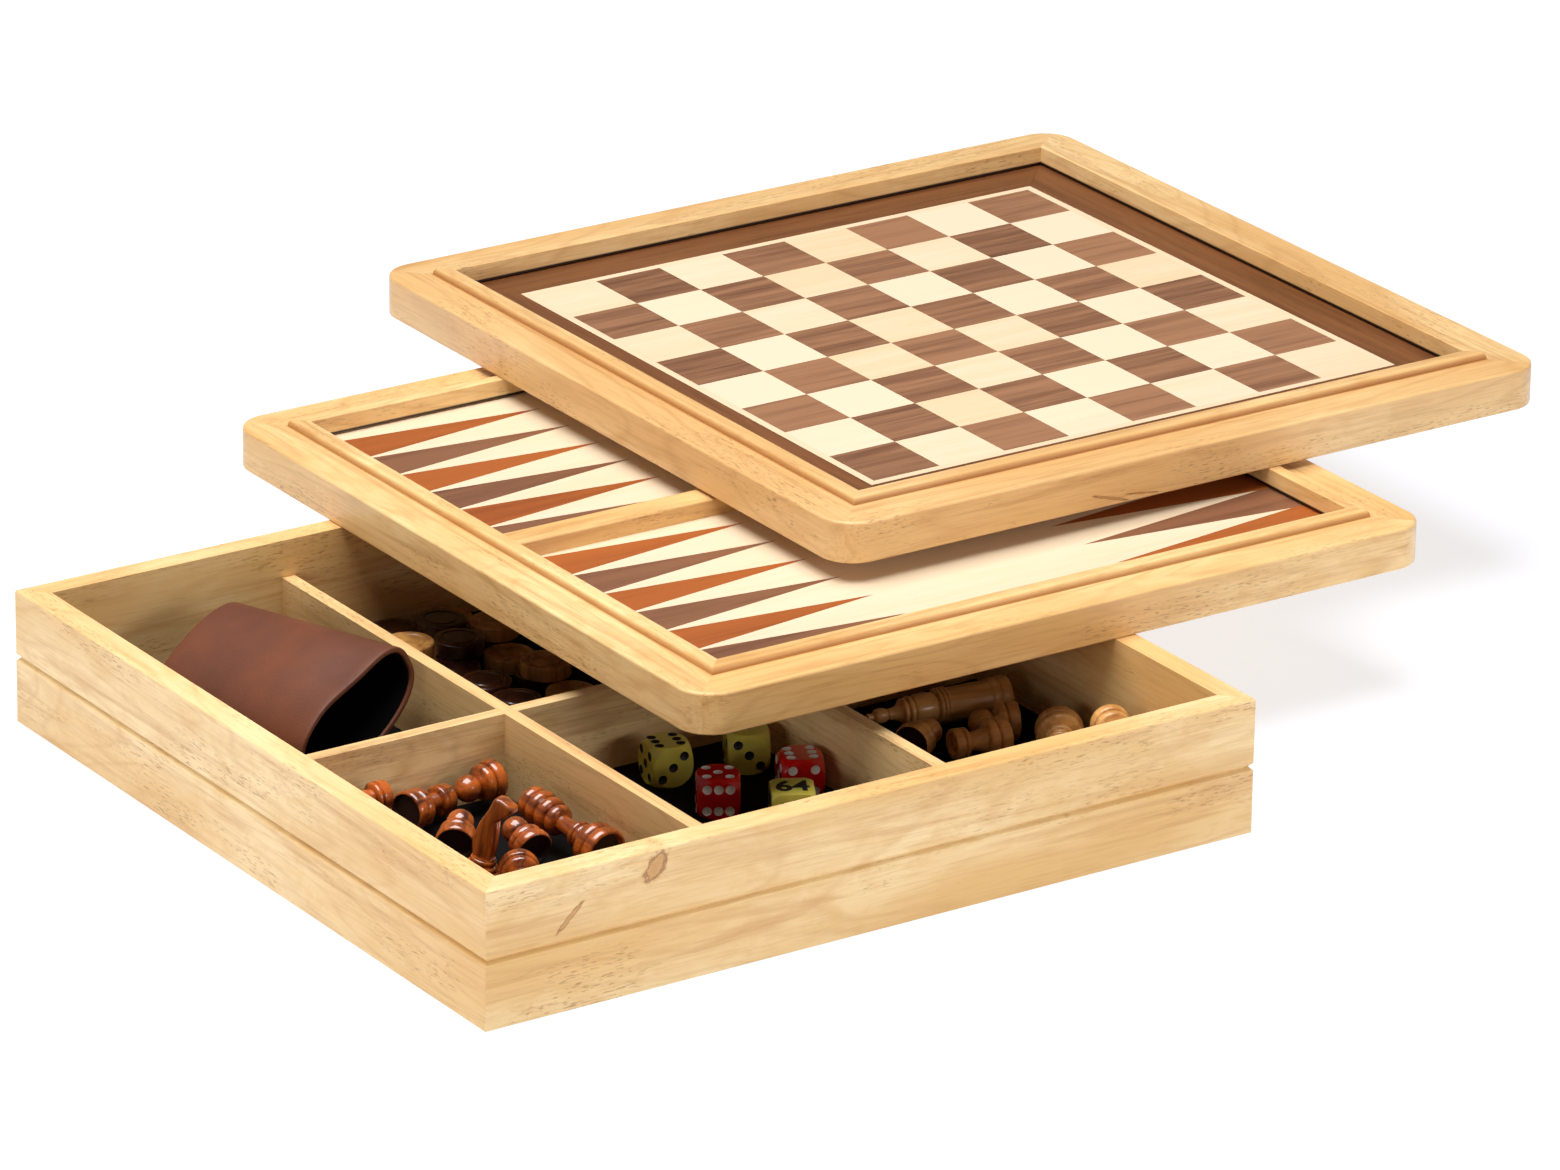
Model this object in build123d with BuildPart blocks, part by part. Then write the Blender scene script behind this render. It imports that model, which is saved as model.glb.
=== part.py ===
from math import copysign, cos, pi, sin
import os

from build123d import *

# A wooden games compendium: an open base box with six compartments, a backgammon board that
# stands on it and a chess board that is the lid. Both boards are drawn aside, one over the other.
# Millimetres. The origin is the middle of the base's underside, +Z up.
# Driving dimensions come first, then one section for each assembly.

os.makedirs("parts", exist_ok=True)

# Base box
side = 330.0
base_height = 53.0
base_wall = 10.0
base_ease = 1.0
groove_height = 26.0
groove_depth = 1.4
floor_ply = 5.0
felt = 1.0
divider_thickness = 5.5
divider_top = 38.0
divider_offset = 52.5
housing_depth = 3.0

# Board frames, the same on both boards
frame_thickness = 16.5
frame_corner = 14.0
flat_width = 16.5
lip_width = 6.5
lip_height = 2.8
lip_round = 2.2
frame_top_ease = 1.2
frame_bottom_ease = 0.8
panel_tuck = 6.0
field_drop = 5.3
veneer = 0.6
core_thickness = 5.4
panel_slack = 1.0
shadow_gap = 0.8
sheet_thickness = 3.0

# Where the boards stand
backgammon_centre = (135.7, 73.0)
chess_centre = (245.6, 144.4)

# Chess field
square = 30.0
squares_along = 8
stringing_width = 3.3
veneer_joint = 0.05

# Backgammon field
point_pitch = 21.5
point_shoulder = 137.0
point_tip = 47.5
points_per_table = 6
bar_width = 12.0
bar_height = 7.0
bar_ease = 1.0
bar_to_point = 17.95

# Small pieces
die_size = 16.0
die_ease = 1.8
draught_diameter = 19.5
draught_thickness = 6.0
draught_sides = 16

inside = side / 2 - base_wall
floor_top = floor_ply + felt
field_side = side - 2 * (flat_width + lip_width)
tucked_side = field_side + 2 * panel_tuck
field_height = frame_thickness - field_drop
board_height = frame_thickness + lip_height
chess_side = square * squares_along

backgammon_seat = Plane((*backgammon_centre, base_height))
chess_seat = Plane((*chess_centre, base_height + board_height))


def keep(part, label):
    part.part.label = label
    export_step(part.part, f"parts/{label}.step")


def quarter_wedge(seat, turn, height):
    # What is kept of a frame between the mitres at its middle and two of its corners.
    with BuildSketch(seat.rotated((0, 0, turn))) as wedge:
        with BuildLine():
            Polyline((0, 0), (-side, -side), (side, -side), close=True)
        make_face()
    extrude(wedge.sketch, amount=height, mode=Mode.INTERSECT)


# ---------------------------------------------------------------- base box

divider_notch = (floor_ply + divider_top) / 2
housing_length = 2 * (inside + housing_depth)
wall_turns = {"near_right": 0, "far_right": 90, "far_left": 180, "near_left": 270}


def square_plate(plane, width):
    with BuildSketch(plane) as plate:
        Rectangle(width, width)
    return plate.sketch


def base_frame():
    # All four walls with the groove round them, before the mitres part them.
    groove_foot = groove_height - groove_depth
    groove_head = groove_height + groove_depth
    extrude(square_plate(Plane.XY, side), amount=groove_foot)
    extrude(square_plate(Plane.XY.offset(groove_foot), side), amount=groove_depth, taper=45)
    extrude(square_plate(Plane.XY.offset(groove_head), side), amount=-groove_depth, taper=45)
    walls = extrude(square_plate(Plane.XY.offset(groove_head), side), amount=base_height - groove_head)
    fillet(walls.faces().sort_by(Axis.Z)[-1].edges(), base_ease)
    hollow = square_plate(Plane.XY.offset(floor_ply), 2 * inside)
    extrude(hollow, amount=base_height, mode=Mode.SUBTRACT)
    extrude(square_plate(Plane.XY, side - base_wall), amount=floor_ply, mode=Mode.SUBTRACT)


def divider_housings():
    # Blind grooves in the walls that take the dividers' ends.
    with BuildSketch(Plane.XY.offset(floor_ply)) as housings:
        with Locations((-divider_offset, 0), (divider_offset, 0)):
            Rectangle(divider_thickness, housing_length)
        Rectangle(housing_length, divider_thickness)
    extrude(housings.sketch, amount=divider_top - floor_ply, mode=Mode.SUBTRACT)


for place, turn in wall_turns.items():
    with BuildPart() as wall:
        base_frame()
        divider_housings()
        quarter_wedge(Plane.XY, turn, base_height)
    keep(wall, f"base_wall_{place}")

with BuildPart() as floor_panel:
    with BuildSketch():
        Rectangle(side - base_wall, side - base_wall)
    extrude(amount=floor_ply)
keep(floor_panel, "base_floor")

outer_bay = inside - divider_offset - divider_thickness / 2
middle_bay = 2 * divider_offset - divider_thickness
bay_length = inside - divider_thickness / 2
outer_bay_middle = inside - outer_bay / 2
bay_middle = inside - bay_length / 2

with BuildPart() as lining:
    with BuildSketch(Plane.XY.offset(floor_ply)):
        with Locations((0, -bay_middle), (0, bay_middle)):
            Rectangle(middle_bay, bay_length)
        with GridLocations(2 * outer_bay_middle, 2 * bay_middle, 2, 2):
            Rectangle(outer_bay, bay_length)
    extrude(amount=felt)
keep(lining, "base_felt_lining")

for place, offset in (("left", -divider_offset), ("right", divider_offset)):
    with BuildPart() as divider:
        with BuildSketch(Plane.XY.offset(floor_ply)):
            with Locations((offset, 0)):
                Rectangle(divider_thickness, housing_length)
        extrude(amount=divider_top - floor_ply)
        with BuildSketch(Plane.XY.offset(floor_ply)):
            with Locations((offset, 0)):
                Rectangle(divider_thickness, divider_thickness)
        extrude(amount=divider_notch - floor_ply, mode=Mode.SUBTRACT)
    keep(divider, f"divider_{place}")

with BuildPart() as cross_divider:
    with BuildSketch(Plane.XY.offset(floor_ply)):
        Rectangle(housing_length, divider_thickness)
    extrude(amount=divider_top - floor_ply)
    with BuildSketch(Plane.XY.offset(divider_notch)):
        with Locations((-divider_offset, 0), (divider_offset, 0)):
            Rectangle(divider_thickness, divider_thickness)
    extrude(amount=divider_top - divider_notch, mode=Mode.SUBTRACT)
keep(cross_divider, "divider_cross")


# ---------------------------------------------------------------- board frames

def moulded_frame(seat):
    # A board's whole moulded frame before the mitres part it: a flat with rounded corners,
    # a raised lip round the field, a slot for the panel and a rebate for the bottom sheet.
    with BuildSketch(seat) as outline:
        RectangleRounded(side, side, frame_corner)
    block = extrude(outline.sketch, amount=frame_thickness)
    chamfer(block.faces().sort_by(Axis.Z)[-1].edges(), frame_top_ease)
    chamfer(block.faces().sort_by(Axis.Z)[0].edges(), frame_bottom_ease)
    lip = extrude(square_plate(seat.offset(frame_thickness), side - 2 * flat_width), amount=lip_height)
    fillet(lip.faces().sort_by(Axis.Z)[-1].edges(), lip_round)
    extrude(square_plate(seat, field_side), amount=board_height, mode=Mode.SUBTRACT)
    extrude(square_plate(seat, tucked_side), amount=sheet_thickness, mode=Mode.SUBTRACT)
    slot = square_plate(seat.offset(field_height - veneer - core_thickness), tucked_side)
    extrude(slot, amount=core_thickness + veneer + shadow_gap, mode=Mode.SUBTRACT)


def frame_and_panels(board, seat):
    for place, turn in wall_turns.items():
        with BuildPart() as rail:
            moulded_frame(seat)
            quarter_wedge(seat, turn, board_height)
        keep(rail, f"{board}_rail_{place}")
    with BuildPart() as core:
        with BuildSketch(seat.offset(field_height - veneer - core_thickness)):
            Rectangle(tucked_side - 2 * panel_slack, tucked_side - 2 * panel_slack)
        extrude(amount=core_thickness)
    keep(core, f"{board}_core_panel")
    with BuildPart() as sheet:
        with BuildSketch(seat):
            Rectangle(tucked_side, tucked_side)
        extrude(amount=sheet_thickness)
    keep(sheet, f"{board}_bottom_sheet")


frame_and_panels("backgammon", backgammon_seat)
frame_and_panels("chess", chess_seat)

veneered_side = tucked_side - 2 * panel_slack


# ---------------------------------------------------------------- chess field

chess_veneer = chess_seat.offset(field_height - veneer)
stringing_side = chess_side + 2 * stringing_width


def mitred_band(outer, inner):
    # Four strips of veneer round the squares, with a hairline joint at each mitre.
    with BuildSketch(chess_veneer) as band:
        Rectangle(outer, outer)
        Rectangle(inner, inner, mode=Mode.SUBTRACT)
        Rectangle(2 * outer, veneer_joint, rotation=45, mode=Mode.SUBTRACT)
        Rectangle(2 * outer, veneer_joint, rotation=-45, mode=Mode.SUBTRACT)
    extrude(band.sketch, amount=veneer)


with BuildPart() as border:
    mitred_band(veneered_side, stringing_side)
keep(border, "chess_border")

with BuildPart() as stringing:
    mitred_band(stringing_side, chess_side)
keep(stringing, "chess_stringing")

# The square in the near corner is dark, and squares of a colour meet only at their corners.
near_half = square / 2
for label, shift in (("chess_dark_squares", near_half), ("chess_light_squares", -near_half)):
    with BuildPart() as squares:
        with BuildSketch(chess_veneer):
            for centre in ((-near_half, -shift), (near_half, shift)):
                with Locations(centre):
                    with GridLocations(2 * square, 2 * square, squares_along // 2, squares_along // 2):
                        Rectangle(square - veneer_joint, square - veneer_joint)
        extrude(amount=veneer)
    keep(squares, label)


# ---------------------------------------------------------------- backgammon field

backgammon_veneer = backgammon_seat.offset(field_height - veneer)
point_places = [sign * (bar_to_point + point_pitch * k)
                for sign in (1, -1) for k in range(points_per_table)]


def point_ends(colour):
    # The ends of the points of one colour change from each place to the next, and over the bar.
    for number, across in enumerate(sorted(point_places, reverse=True)):
        yield across, (-1) ** (number + colour)


def point_sketch(colour):
    # Tips towards the middle of the board, roots tucked under the lip.
    with BuildSketch(backgammon_veneer) as points:
        for across, end in point_ends(colour):
            with BuildLine():
                Polyline(
                    (end * point_tip, across),
                    (end * point_shoulder, across + point_pitch / 2),
                    (end * veneered_side / 2, across + point_pitch / 2),
                    (end * veneered_side / 2, across - point_pitch / 2),
                    (end * point_shoulder, across - point_pitch / 2),
                    close=True,
                )
            make_face()
    return points.sketch


with BuildPart() as field:
    with BuildSketch(backgammon_veneer):
        Rectangle(veneered_side, veneered_side)
    extrude(amount=veneer)
    for colour in (0, 1):
        extrude(point_sketch(colour), amount=veneer, mode=Mode.SUBTRACT)
keep(field, "backgammon_field")

for label, colour in (("backgammon_russet_points", 1), ("backgammon_walnut_points", 0)):
    with BuildPart() as inlay:
        extrude(point_sketch(colour), amount=veneer)
    keep(inlay, label)

with BuildPart() as bar:
    with BuildSketch(backgammon_seat.offset(field_height)):
        Rectangle(field_side, bar_width)
    extrude(amount=bar_height)
    fillet(bar.faces().sort_by(Axis.Z)[-1].edges().filter_by(Axis.X), bar_ease)
keep(bar, "backgammon_bar")


# ---------------------------------------------------------------- chessmen

# Outlines of the turned pieces: (height above the base, radius). They are lofted with flat
# sides, which keeps the heaps of men light.
turning_sides = 12
pawn_outline = (
    (0, 6.9), (2.2, 7.6), (4.4, 6.9), (4.6, 6.2), (6.4, 7.0), (8.2, 5.8), (9.2, 4.2), (10.6, 4.6),
    (13.8, 5.2), (16.8, 4.0), (18.8, 1.0),
)
rook_outline = (
    (0, 7.2), (2.2, 8.0), (4.4, 7.2), (4.7, 6.6), (6.8, 7.6), (9.0, 6.4), (11.2, 3.9), (15.8, 3.6),
    (16.2, 5.4), (18, 5.8), (21, 5.8), (22, 5.2),
)
bishop_outline = (
    (0, 7.2), (2.2, 8.0), (4.4, 7.2), (4.7, 6.4), (6.4, 7.0), (8.2, 6.0), (10, 5.8), (12.4, 4.4),
    (22.6, 3.2), (24, 5.6), (25.6, 3.8), (29.4, 5.4), (33, 4.4), (38, 0.8),
)
queen_outline = (
    (0, 8.2), (2.4, 9.2), (4.6, 8.2), (4.9, 7.6), (7.2, 9.0), (9.4, 7.6), (12, 5.6), (14.4, 4.8),
    (16.4, 5.2), (18.2, 3.4), (26, 3.3), (28.4, 5.8), (33, 6.8), (35.6, 5.8), (38, 7.2), (40.4, 6.0),
    (43, 6.6), (45.6, 5.0), (47, 1.2),
)
king_outline = (
    (0, 7.6), (1, 8.2), (3.6, 8.2), (4.6, 7.4), (27, 6.6), (28.4, 7.1), (30, 6.5), (39.4, 5.4),
    (41, 5.9), (42.6, 4.9), (44, 5.3), (45.6, 4.4), (47, 4.8), (50, 2.7), (55.4, 2.9), (56.2, 2.0),
    (58, 1.6),
)
knight_foot = ((0, 7.2), (2.2, 8.0), (4.4, 7.2), (4.7, 5.4), (5.8, 5.8), (7.2, 4.8), (9.0, 4.4))
knight_profile = (
    (8, -3), (8, 3.2), (12.4, 3.2), (18.8, 2.6), (24, 1.8), (26.4, 4.4), (29.6, 7.2), (31.8, 7),
    (33.4, 2.2), (33, -0.6), (28, -1.8), (22, -4), (15.8, -5.2), (12, -4.6),
)
knight_thickness = 6.2


def lying(x, y, z, heading, nod=0, roll=0):
    # Where a piece lies: the middle of its base, and local x from its base to its head.
    along = Vector(1, 0, 0).rotate(Axis.Y, -nod).rotate(Axis.Z, heading)
    across = Vector(0, 1, 0).rotate(Axis.X, roll).rotate(Axis.Y, -nod).rotate(Axis.Z, heading)
    return Plane((x, y, z), x_dir=along, z_dir=along.cross(across))


def turned(outline, seat):
    rings = []
    for height, radius in outline:
        across = Plane(seat.origin + seat.x_dir * height, x_dir=seat.y_dir, z_dir=seat.x_dir)
        with BuildSketch(across) as ring:
            RegularPolygon(radius, turning_sides)
        rings.append(ring.sketch)
    loft(rings, ruled=True)


def knight(seat):
    turned(knight_foot, seat)
    with BuildSketch(seat) as head:
        with BuildLine():
            Polyline(*knight_profile, close=True)
        make_face()
    extrude(head.sketch, amount=knight_thickness / 2, both=True)


def keep_men(label, outline, places):
    with BuildPart() as men:
        for place in places:
            if outline:
                turned(outline, lying(*place))
            else:
                knight(lying(*place))
    keep(men, label)


dark_men = {
    "king": (king_outline, [(-146.4, -153.5, 14.3, 90)]),
    "queen": (queen_outline, [(-65.4, -87.9, 16.1, 96, 7)]),
    "bishops": (bishop_outline, [(-137.4, -146.6, 14.2, 0), (-59, -146.6, 14.2, 180)]),
    "knights": (None, [(-106.1, -66.4, 8, -43, 77, -107), (-137.4, -129.6, 14.2, 0)]),
    "rooks": (rook_outline, [(-105.7, -16, 15.1, 16, -3), (-136.2, -17.1, 24, 4)]),
    "pawns": (pawn_outline, [
        (-63.6, -10.8, 17.6, 187, -3), (-104.6, -48, 13.8, 50, 12), (-85.1, -70.9, 15.4, 89, 13),
        (-95.7, -76.4, 13.8, 245), (-140, -34, 13.9, 90, -8), (-57.4, -130.6, 13.7, 180),
        (-79.4, -130.6, 13.7, 180), (-57.4, -112, 13.7, 180),
    ]),
}
light_men = {
    "king": (king_outline, [(144, -38.5, 14.4, 171)]),
    "queen": (queen_outline, [(141.2, -76.6, 15.6, 236)]),
    "bishops": (bishop_outline, [(76.5, -97.6, 14.2, 0), (56.5, -146.6, 14.2, 0)]),
    "knights": (None, [(56.5, -130.4, 14.2, 0), (91.5, -130.4, 14.2, 0)]),
    "rooks": (rook_outline, [(121.6, -70.4, 14.2, 170), (97, -146.6, 14.2, 0)]),
    "pawns": (pawn_outline, [
        (87.6, -57.6, 13.8, 27), (134.4, -59.6, 13.8, 158), (140.4, -108.6, 29.2, 250),
        (147.2, -153.5, 13.8, 90), (56.5, -114, 13.8, 0), (56.5, -98, 13.8, 0),
        (121, -146.6, 13.8, 0), (147.2, -131.5, 13.8, 90),
    ]),
}

for colour, men in (("dark", dark_men), ("light", light_men)):
    for kind, (outline, places) in men.items():
        keep_men(f"{colour}_{kind}", outline, places)


# ---------------------------------------------------------------- draughts, dice and cup

layer_1 = floor_top
layer_2 = layer_1 + draught_thickness + 0.1
layer_3 = layer_2 + draught_thickness + 0.1
draught_columns = (-36.5, -12, 12, 36.5)
draught_rows = 7
draught_row_pitch = 22.0
first_draught_row = 13.0
draught_places = [(x, first_draught_row + draught_row_pitch * row, layer_1)
                  for x in draught_columns for row in range(draught_rows)]
draught_places = draught_places[:-6]
top_light = [(-30, 105, layer_3), (-31, 104, layer_2), (17, 119, layer_2), (12, 75, layer_2)]
top_dark = [(-4, 111, layer_2), (0.5, 131, layer_2), (-17.5, 70, layer_2), (-17.5, 49, layer_2)]

for label, places in (
    ("draughts_light", draught_places[::2] + top_light),
    ("draughts_dark", draught_places[1::2] + top_dark),
):
    with BuildPart() as stones:
        for x, y, z in places:
            with BuildSketch(Plane((x, y, z))):
                RegularPolygon(draught_diameter / 2, draught_sides)
            extrude(amount=draught_thickness)
    keep(stones, label)

dice = {
    "yellow_die_1": (2.2, -22.8, -12),
    "yellow_die_2": (34.1, -28.5, -26),
    "red_die_1": (1.9, -58.0, -31),
    "red_die_2": (37.5, -58.7, -23),
    "doubling_cube": (17.4, -83.5, -29),
}
for label, (x, y, turn) in dice.items():
    with BuildPart() as die:
        with BuildSketch(Plane((x, y, floor_top)).rotated((0, 0, turn))):
            Rectangle(die_size, die_size)
        extrude(amount=die_size)
        chamfer(die.edges(), die_ease)
    keep(die, label)

# The cup lies on its side, leaning, with its mouth towards the near-right wall.
cup_mouth = Vector(-89.5, 43, 28)
cup_foot = Vector(-108.4, 124.8, 25.4)
cup_mouth_radii = (31.0, 17.0)
cup_foot_radii = (27.0, 15.2)
cup_lean = -28
cup_flatness = 0.8
cup_sides = 28
cup_leather = 2.2
cup_lining = 0.8
cup_base_thickness = 4.0
cup_axis = cup_foot - cup_mouth
cup_length = cup_axis.length
cup_across = Vector(cup_axis.Y, -cup_axis.X, 0)


def cup_section(distance, inset):
    # A flattened oval across the cup, so far in from its mouth and so far inside its leather.
    share = distance / cup_length
    wide, narrow = (mouth + (foot - mouth) * share - inset
                    for mouth, foot in zip(cup_mouth_radii, cup_foot_radii))
    plane = Plane(cup_mouth + cup_axis * share, x_dir=cup_across, z_dir=cup_axis)
    rim = []
    for step in range(cup_sides):
        angle = 2 * pi * step / cup_sides
        bulge = copysign(abs(sin(angle)) ** cup_flatness, sin(angle))
        rim.append((wide * cos(angle), narrow * bulge))
    with BuildSketch(plane) as section:
        Polygon(*rim, rotation=cup_lean)
    return section.sketch


def cup_layer(start, end, outer_inset, mode=Mode.ADD):
    loft([cup_section(start, outer_inset), cup_section(end, outer_inset)], ruled=True, mode=mode)


with BuildPart() as cup_shell:
    cup_layer(0, cup_length, 0)
    cup_layer(-1, cup_length + 1, cup_leather, mode=Mode.SUBTRACT)
keep(cup_shell, "cup_shell")

with BuildPart() as cup_inner:
    cup_layer(1, cup_length - cup_base_thickness, cup_leather)
    cup_layer(0, cup_length, cup_leather + cup_lining, mode=Mode.SUBTRACT)
keep(cup_inner, "cup_lining")

with BuildPart() as cup_base:
    cup_layer(cup_length - cup_base_thickness, cup_length, cup_leather)
keep(cup_base, "cup_base")
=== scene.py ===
import math

import bmesh
import bpy
from mathutils import Matrix, Vector


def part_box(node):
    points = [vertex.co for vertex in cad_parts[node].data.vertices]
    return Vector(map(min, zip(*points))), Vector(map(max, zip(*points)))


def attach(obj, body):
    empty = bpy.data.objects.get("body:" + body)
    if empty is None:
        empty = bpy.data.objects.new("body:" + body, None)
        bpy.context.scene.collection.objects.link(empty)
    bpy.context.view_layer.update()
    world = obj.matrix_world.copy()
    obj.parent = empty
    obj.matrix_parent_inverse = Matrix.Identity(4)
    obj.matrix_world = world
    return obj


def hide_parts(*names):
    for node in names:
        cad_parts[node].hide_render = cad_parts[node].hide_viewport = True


# The looks of a wooden games compendium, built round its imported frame. Metres, +Z up.
# Sizes in the dictionaries are millimetres unless a note says otherwise.

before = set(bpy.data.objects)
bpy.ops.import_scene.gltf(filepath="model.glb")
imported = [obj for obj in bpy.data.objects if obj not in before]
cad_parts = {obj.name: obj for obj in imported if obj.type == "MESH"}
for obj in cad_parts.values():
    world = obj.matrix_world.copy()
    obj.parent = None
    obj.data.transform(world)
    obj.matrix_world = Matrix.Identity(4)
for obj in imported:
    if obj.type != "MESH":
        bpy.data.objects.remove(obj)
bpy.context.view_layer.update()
mm = 0.001
turn = 2 * math.pi


# ---- hand tools for modelling

def clearSelection():
    if bpy.context.mode != "OBJECT":
        bpy.ops.object.mode_set(mode="OBJECT")
    bpy.ops.object.select_all(action="DESELECT")


def makeActive(piece):
    clearSelection()
    piece.select_set(True)
    bpy.context.view_layer.objects.active = piece


def startEdit(piece, mode):
    makeActive(piece)
    bpy.ops.object.mode_set(mode="EDIT")
    bpy.ops.mesh.select_mode(type=mode)
    bpy.ops.mesh.select_all(action="DESELECT")


def endEdit():
    bpy.ops.object.mode_set(mode="OBJECT")


def pickAll():
    bpy.ops.mesh.select_all(action="SELECT")


def faceOutwards():
    # Turns every face outwards and ends the editing.
    pickAll()
    bpy.ops.mesh.normals_make_consistent(inside=False)
    endEdit()


def pickEdges(piece, test):
    # Selects the edges that pass a test of their two ends.
    bpy.ops.mesh.select_all(action="DESELECT")
    shape = bmesh.from_edit_mesh(piece.data)
    for edge in shape.edges:
        if test(edge.verts[0].co, edge.verts[1].co):
            edge.select_set(True)
    bmesh.update_edit_mesh(piece.data)


def addBlock(name, centre, size):
    # A block of that size in millimetres about a centre in metres, its place in its mesh.
    clearSelection()
    bpy.ops.mesh.primitive_cube_add(size=1, location=centre, scale=[width * mm for width in size])
    bpy.ops.object.transform_apply(location=True, rotation=True, scale=True)
    block = bpy.context.object
    block.name = name
    block.data.name = name
    return block


def useModifier(piece, kind, **settings):
    makeActive(piece)
    bpy.ops.object.modifier_add(type=kind)
    modifier = piece.modifiers[-1]
    for key, value in settings.items():
        setattr(modifier, key, value)
    bpy.ops.object.modifier_apply(modifier=modifier.name)


def joinOrCut(piece, tool, operation):
    useModifier(piece, "BOOLEAN", operation=operation, object=tool, solver="EXACT")
    bpy.data.objects.remove(tool)


def easeEdges(piece, width, degrees):
    # Rounds the edges that turn by more than so many degrees.
    useModifier(piece, "BEVEL", width=width * mm, segments=3, limit_method="ANGLE",
                angle_limit=math.radians(degrees))


def smooth(piece, degrees):
    makeActive(piece)
    bpy.ops.object.shade_smooth_by_angle(angle=math.radians(degrees))


def fromAxes(x, y, z):
    # The turn that lays X, Y and Z along these three.
    return Matrix((x, y, z)).transposed().to_4x4()


def turned(degrees, axis="Z"):
    return Matrix.Rotation(math.radians(degrees), 4, axis)


def copyPiece(source, name, place):
    # A copy with a mesh of its own, its place in the mesh.
    copy = source.copy()
    copy.data = source.data.copy()
    copy.name = name
    copy.data.name = name
    bpy.context.scene.collection.objects.link(copy)
    copy.data.transform(place)
    return copy


def stampOwnPlace(piece, shift):
    # Keeps where each point is on the piece before it is laid down, for grain that turns with it.
    layer = piece.data.attributes.new("ownPlace", "FLOAT_VECTOR", "POINT")
    for point, entry in zip(piece.data.vertices, layer.data):
        entry.vector = point.co + Vector(shift)


def finishPiece(piece, body, materials, replaced=()):
    # Gives a piece its materials, its body and the nodes it stands for.
    indexes = [face.material_index for face in piece.data.polygons]
    piece.data.materials.clear()
    for material in materials:
        piece.data.materials.append(material)
    piece.data.polygons.foreach_set("material_index", indexes)
    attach(piece, body)
    if replaced:
        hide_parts(*replaced)


# ---- camera, at the photograph's own angle

cameraPlace = {
    "place": (-1.70238, -2.61659, 1.32405),  # metres
    "yaw": 34.07,
    "pitch": 21.78,
    "roll": 0.83,
    "lens": 211.43,
    "sensor": 36.0,
}


def addCamera(look):
    yaw, pitch, roll = (math.radians(look[key]) for key in ("yaw", "pitch", "roll"))
    ahead = Vector((
        math.sin(yaw) * math.cos(pitch), math.cos(yaw) * math.cos(pitch), -math.sin(pitch)))
    right = Vector((math.cos(yaw), -math.sin(yaw), 0))
    up = right.cross(ahead)
    across = right * math.cos(roll) + up * math.sin(roll)
    upright = up * math.cos(roll) - right * math.sin(roll)
    bpy.ops.object.camera_add()
    camera = bpy.context.object
    camera.matrix_world = Matrix.Translation(look["place"]) @ fromAxes(across, upright, -ahead)
    camera.data.lens = look["lens"]
    camera.data.sensor_width = look["sensor"]
    camera.data.clip_end = 100
    bpy.context.scene.camera = camera


addCamera(cameraPlace)
print("camera placed")


# ---- shader tools

class Shader:
    # Adds nodes to one material; a value given for a socket is either set on it or linked to it.

    def __init__(self, name):
        self.material = bpy.data.materials.new(name)
        self.material.use_nodes = True
        self.nodes = self.material.node_tree.nodes
        self.links = self.material.node_tree.links
        self.surface = self.nodes["Principled BSDF"]

    def feed(self, target, key, value):
        if isinstance(value, bpy.types.NodeSocket):
            self.links.new(value, target.inputs[key])
        else:
            target.inputs[key].default_value = value

    def add(self, kind, inputs, **settings):
        made = self.nodes.new("ShaderNode" + kind)
        for key, value in settings.items():
            setattr(made, key, value)
        for key, value in inputs.items():
            self.feed(made, key, value)
        return made

    def place(self):
        return self.add("TexCoord", {}).outputs["Object"]

    def ownPlace(self):
        return self.add("Attribute", {}, attribute_name="ownPlace").outputs["Vector"]

    def stretch(self, vector, scale, shift=(0, 0, 0), rotate=(0, 0, 0)):
        inputs = {"Vector": vector, "Scale": scale, "Location": shift, "Rotation": rotate}
        return self.add("Mapping", inputs).outputs["Vector"]

    def noise(self, vector, scale=1.0, detail=3.0, rough=0.5, warp=0.0):
        inputs = {
            "Vector": vector, "Scale": scale, "Detail": detail, "Roughness": rough, "Distortion": warp}
        return self.add("TexNoise", inputs).outputs["Fac"]

    def sums(self, operation, first, second=0.0, clamp=False):
        return self.add("Math", {0: first, 1: second}, operation=operation, use_clamp=clamp).outputs[0]

    def ramp(self, value, low, high, lowResult=0.0, highResult=1.0):
        inputs = {
            "Value": value, "From Min": low, "From Max": high,
            "To Min": lowResult, "To Max": highResult}
        return self.add("MapRange", inputs, clamp=True).outputs["Result"]

    def blend(self, share, first, second):
        # 0, 6 and 7 are the share and the two colours.
        return self.add("Mix", {0: share, 6: first, 7: second}, data_type="RGBA").outputs[2]

    def gap(self, value, middle):
        # How far a value is from a middle one.
        return self.sums("ABSOLUTE", self.sums("SUBTRACT", value, middle))

    def vectors(self, operation, first, second=(0, 0, 0)):
        return self.add("VectorMath", {0: first, 1: second}, operation=operation).outputs[0]

    def parts(self, vector):
        return self.add("SeparateXYZ", {"Vector": vector}).outputs

    def fromCentre(self, vector, centre):
        # How far off to either side of a centre, along X, Y and Z.
        return self.parts(self.vectors("ABSOLUTE", self.vectors("SUBTRACT", vector, centre)))

    def bump(self, height, depth, strength):
        # depth in metres
        inputs = {"Height": height, "Distance": depth, "Strength": strength}
        self.feed(self.surface, "Normal", self.add("Bump", inputs).outputs["Normal"])

    def finish(self, **sockets):
        for key, value in sockets.items():
            self.feed(self.surface, key.replace("_", " "), value)
        return self.material


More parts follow.
